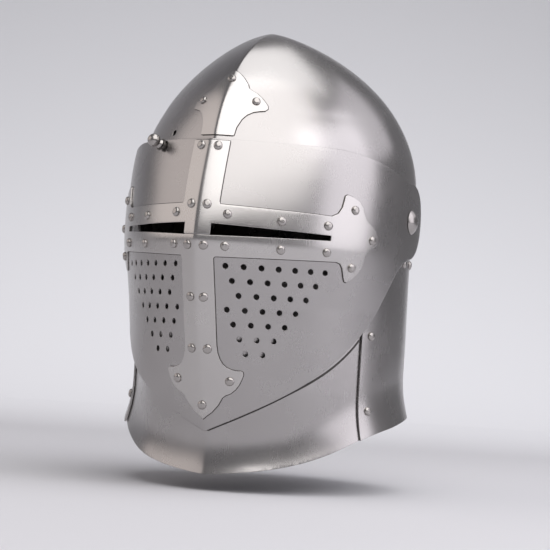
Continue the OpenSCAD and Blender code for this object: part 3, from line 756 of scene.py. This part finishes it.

# ---------------------------------------------------------------------------
# Painted shade lines
# A dark band about 1 mm wide, laid on the plate all round the raised steel,
# paints the shade in the corner where they meet. Another paints the shadow under the visor's edge on the chin.


def painted_shade_line(name, body, at, outline, inner=-0.4, outer=0.7):
    """A flat dark band of painted shade that follows an outline on a plate, from just under the raised steel to just
    outside it.
    """
    sheet = paced([(a * SHEET, v) for a, v in outline], 1.0)
    flat = [(u / SHEET, v) for u, v in sheet]
    places = [facing(at, a, v) for a, v in flat]
    count = len(places)
    ahead = flat[1:] + flat[:1]
    turn = sum(a[0] * b[1] - b[0] * a[1] for a, b in zip(flat, ahead))
    verts, faces = [], []
    for i, (p, n) in enumerate(places):
        run = np.array(places[(i + 1) % count][0]) - np.array(places[i - 1][0])
        out = np.cross(run, n)
        out *= math.copysign(1, turn) / max(1e-9, np.linalg.norm(out))
        for far, lift in ((inner, 0.03), ((inner + outer) / 2, 0.1), (outer, 0.02)):
            verts.append(tuple((np.array(p) + out * far + np.array(n) * lift) * MM))
    for i in range(count):
        a, b = 3 * i, 3 * ((i + 1) % count)
        for k in (0, 1):
            faces.append((a + k, a + k + 1, b + k + 1, b + k))
    piece = new_piece(name, verts, faces)
    piece.data.shade_smooth()
    return finish_piece(piece, body, "dark_steel", painted_shade_bead)


# Material of the painted shade lines: a near-black colour that paints shade, not a finish of the steel
painted_shade_bead, shade_tree, shade_shader = new_material("painted_shade_bead")
shade_place = add_node(shade_tree, "ShaderNodeTexCoord")
# The painted shade is darker in some places than in others, over 4 mm or so
shade_tone = two_tone(shade_tree, noise(shade_tree, shade_place, "Object", 4, 3.0), "#1E1B18", "#4A4540")
shade_tree.links.new(shade_tone.outputs[0], shade_shader.inputs["Base Color"])
shade_shader.inputs["Roughness"].default_value = 0.5
# Painted shade round the raised cross and the crest fleur
painted_shade_line("cross_line", "visor", visor_at, cross_outline)
painted_shade_line("crest_line", "skull", skull_at, crest_outline)
# A painted shadow line on the chin plate, along the visor's lower edge
rest_line = [(a, float(visor_foot(a))) for a in np.linspace(-63, 63, 90)]
painted_shade_line("chin_line", "skull", bevor_at, rest_line + [(a, z + 0.6) for a, z in rest_line[::-1]], -0.3, 0.6)

# ---------------------------------------------------------------------------
# Pivots
# At each side a domed bolt goes through a bush in the visor, a spacer and the
# skull into a nut inside. All are turned steel; the hidden ones are left oiled.

dark_steel = satin_steel("oiled_turned_steel", "#6E6B68", "#55524F", 0.36, grain_mm=0.3)


def dress(name, material):
    """Gives a CAD node that is shown as it is its material and its shading."""
    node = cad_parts[name]
    node.data.materials.clear()
    node.data.materials.append(material)
    smooth(node, 35)


for word in ("left", "right"):
    dress(f"pivot_bolt_{word}", rivet_steel)
    for part in ("pivot_spacer", "pivot_nut", "visor_bush"):
        dress(f"{part}_{word}", dark_steel)

# ---------------------------------------------------------------------------
# Catch
# A steel pin with a ball knob slides in a bush at the visor's upper edge, by
# the small hole in the skull. The ball is polished by the fingers that pull it.

dress("catch_bush", dark_steel)
dress("catch_pin", dark_steel)
dress("catch_knob", rivet_steel)

# ---------------------------------------------------------------------------
# Lining
# A quilted linen cap, stuffed with tow and sewn in upright channels, hangs from
# a waxed leather band just inside the brow. Both are nearly black with use.

CAP_GAP, CAP_THICK, CAP_FOOT = 3.5, 6.0, 24.0
CAP_TOP = APEX - 7
CAP_SEAMS = 15  # degrees between seams
BAND_FOOT, BAND_HIGH = 14, 9.7
BAND_OUT, BAND_IN = 1.3, 3.0


def sewn_grid(name, rows, columns, face):
    """A closed padded ring or bowl from a function of turn (degrees), height share and side (1 out, 0 in)."""
    verts, faces = [], []
    for side in (1, 0):
        for j in range(rows):
            for i in range(columns):
                spot = face(360 * i / columns - 180, j / (rows - 1), side)
                verts.append(tuple(np.array([float(v) for v in spot]) * MM))
    n = rows * columns
    for j in range(rows - 1):
        for i in range(columns):
            a, b = j * columns + i, j * columns + (i + 1) % columns
            faces.append((a, b, b + columns, a + columns))
            faces.append((n + b, n + a, n + a + columns, n + b + columns))
    for i in range(columns):
        a, b = i, (i + 1) % columns
        faces.append((b, a, n + a, n + b))
        a, b = n - columns + i, n - columns + (i + 1) % columns
        faces.append((a, b, n + b, n + a))
    return smooth(new_piece(name, verts, faces), 60)


def cap_face(turn, share, side):
    """The cap swells between its seams and is thin at its hem and at each seam."""
    height = CAP_FOOT + (CAP_TOP - CAP_FOOT) * math.sin(math.pi / 2 * share)
    seam = abs(math.sin(math.radians(turn * (180 / CAP_SEAMS))))
    swell = seam**0.6 * min(1, share * 6) * min(1, (1 - share) * 4 + 0.15)
    off = -CAP_GAP - (0.6 if side else CAP_THICK - 0.4) + (0.5 if side else -2.2) * swell
    angle = turn if abs(turn) < 179.99 else 180.0
    return skull_at(angle, height if side else height - 4 * share, off)


cap = sewn_grid("liner_cap", 48, 192, cap_face)


def quilted_linen(name, light, dark):
    """Plain-woven linen, unbleached once and now dark with oil and wear: matt, with a soft nap."""
    material, tree, shader = new_material(name)
    place = add_node(tree, "ShaderNodeTexCoord")
    # Real threads are 0.7 mm apart. They are drawn a little over 4 mm apart, so that they show.
    threads = 1 / (2.2 * MM) / 6.28
    warp, weft = (
        add_node(
            tree, "ShaderNodeTexWave", [("Vector", place, "Object")],
            bands_direction=axis, Scale=threads, Distortion=0.6,
        )
        for axis in "XZ"
    )
    weave = add_node(tree, "ShaderNodeMath", [(0, warp, "Fac"), (1, weft, "Fac")], operation="MULTIPLY")
    tone = two_tone(tree, noise(tree, place, "Object", 30, 4.0), dark, light)
    tree.links.new(tone.outputs[0], shader.inputs["Base Color"])
    raised = add_node(tree, "ShaderNodeBump", [("Height", weave, 0)], Strength=0.5, Distance=0.2 * MM)
    tree.links.new(raised.outputs[0], shader.inputs["Normal"])
    shader.inputs["Roughness"].default_value = 0.95
    shader.inputs["Sheen Weight"].default_value = 0.25
    return material


finish_piece(cap, "skull", "lining_cloth", quilted_linen("oil_dark_linen", "#3A3630", "#1D1B18"), "liner_cap")


def band_face(turn, share, side):
    """The band lies just inside the brow, and is a little rounder in the middle than at its edges."""
    angle = turn if abs(turn) < 179.99 else 180.0
    bulge = 0.25 * math.sin(math.pi * share)
    depth = BAND_OUT - bulge if side else BAND_IN + bulge
    return skull_at(angle, BAND_FOOT + BAND_HIGH * share, -SKULL_THICK - depth)


def waxed_leather(name, light, dark):
    """Vegetable-tanned cowhide, dyed, waxed and worn: a dull gleam over fine pores and creases."""
    material, tree, shader = new_material(name)
    place = add_node(tree, "ShaderNodeTexCoord")
    pores = add_node(tree, "ShaderNodeTexVoronoi", [("Vector", place, "Object")], Scale=1 / (1.1 * MM))
    tone = two_tone(tree, noise(tree, place, "Object", 18, 5.0), dark, light)
    tree.links.new(tone.outputs[0], shader.inputs["Base Color"])
    raised = add_node(tree, "ShaderNodeBump", [("Height", pores, "Distance")], Strength=0.35, Distance=0.12 * MM)
    tree.links.new(raised.outputs[0], shader.inputs["Normal"])
    shader.inputs["Roughness"].default_value = 0.55
    return material


band = sewn_grid("liner_band", 9, 160, band_face)
finish_piece(band, "skull", "band_leather", waxed_leather("waxed_brown_leather", "#3B2618", "#20140D"), "liner_band")

# ---------------------------------------------------------------------------
# Floor, light and camera
# A pale paper floor and wall. Soft panels stand in front and above on the
# wearer's left, at that side, behind it and overhead, with a dimmer one opposite.
# One more lights the wall.

FLOOR_Z = -0.205
target = Vector((0, 0.0059, -0.0448))
away = Vector((-0.3621, 0.9318, 0)).normalized()
aside = Vector((away.y, -away.x, 0))


def paper_sheet(name, profile, left, right):
    """A sheet of backdrop paper that follows a profile of (distance behind the helmet, height)."""
    verts = [
        tuple(away * d + aside * s + Vector((0, 0, FLOOR_Z + h))) for d, h in profile for s in (left, right)
    ]
    faces = [(2 * i, 2 * i + 1, 2 * i + 3, 2 * i + 2) for i in range(len(profile) - 1)]
    piece = new_piece(name, verts, faces)
    piece.data.shade_smooth()
    piece.data.materials.append(matt_paper)


matt_paper, paper_tree, paper_shader = new_material("matt_paper")
paper_shader.inputs["Base Color"].default_value = srgb("#D8D8DC")
paper_shader.inputs["Roughness"].default_value = 0.9
paper_shader.inputs["Specular IOR Level"].default_value = 0.2
paper_sheet("floor_paper", [(-4.0, 0), (4.0, 0)], -4.0, 4.0)
rise = [(d, 0.22 * (d - 1.2) ** 2 - 0.003) for d in np.linspace(1.2, 3.6, 30)]
paper_sheet("wall_paper", rise + [(4.0, 4.0)], -4.0, 1.0)


def panel(name, azimuth, elevation, distance, width, height, glow, colour="#FFFFFF"):
    """A soft light panel that faces the helmet from the given direction. glow is its brightness."""
    a, e = math.radians(azimuth), math.radians(elevation)
    towards = Vector((math.sin(a) * math.cos(e), -math.cos(a) * math.cos(e), math.sin(e)))
    light = bpy.data.lights.new(name, "AREA")
    light.shape, light.size, light.size_y = "RECTANGLE", width, height
    light.energy = glow * math.pi * width * height
    light.color = srgb(colour)[:3]
    lamp = bpy.data.objects.new(name, light)
    lamp.location = target + towards * distance
    lamp.rotation_euler = towards.to_track_quat("Z", "Y").to_euler()
    bpy.context.scene.collection.objects.link(lamp)
    return lamp


panel("key", 43, 49, 1.9, 1.95, 2.2, 2.0, "#FFFDFC")
panel("side", 93, 24, 1.9, 1.2, 1.8, 1.6, "#FBF8FF")
panel("rear_side", 130, 38, 2.1, 1.4, 1.2, 0.85, "#FBF8FF")
panel("top", 150, 78, 2.0, 1.2, 1.2, 1.8)
panel("far_side", -69, 24, 1.9, 2.2, 1.45, 0.78, "#FFF4EE")
wall_light = panel("wall", 201, 60, 1.6, 2.2, 0.8, 6.2)
from_wall = wall_light.location - away * 3.4 - Vector((0, 0, 1.0))
wall_light.rotation_euler = from_wall.to_track_quat("Z", "Y").to_euler()

world = bpy.data.worlds.new("studio")
bpy.context.scene.world = world
world.use_nodes = True
world.node_tree.nodes["Background"].inputs["Color"].default_value = srgb("#A9A8AC")
world.node_tree.nodes["Background"].inputs["Strength"].default_value = 0.5
bpy.context.scene.view_settings.view_transform = "Standard"

camera = bpy.data.cameras.new("camera")
camera.sensor_width = 36
camera.lens = 140.7
eye = bpy.data.objects.new("camera", camera)
bpy.context.scene.collection.objects.link(eye)
CAMERA_AWAY = 1.652
right = Vector((0.9307, 0.3602, 0.0638)).normalized()
up = Vector((-0.0509, -0.0454, 0.9977)).normalized()
back = Vector((0.3621, -0.9318, -0.0239)).normalized()
turned = Matrix((right, up, back)).transposed()
eye.matrix_world = Matrix.Translation(target + back * CAMERA_AWAY) @ turned.to_4x4()
bpy.context.scene.camera = eye
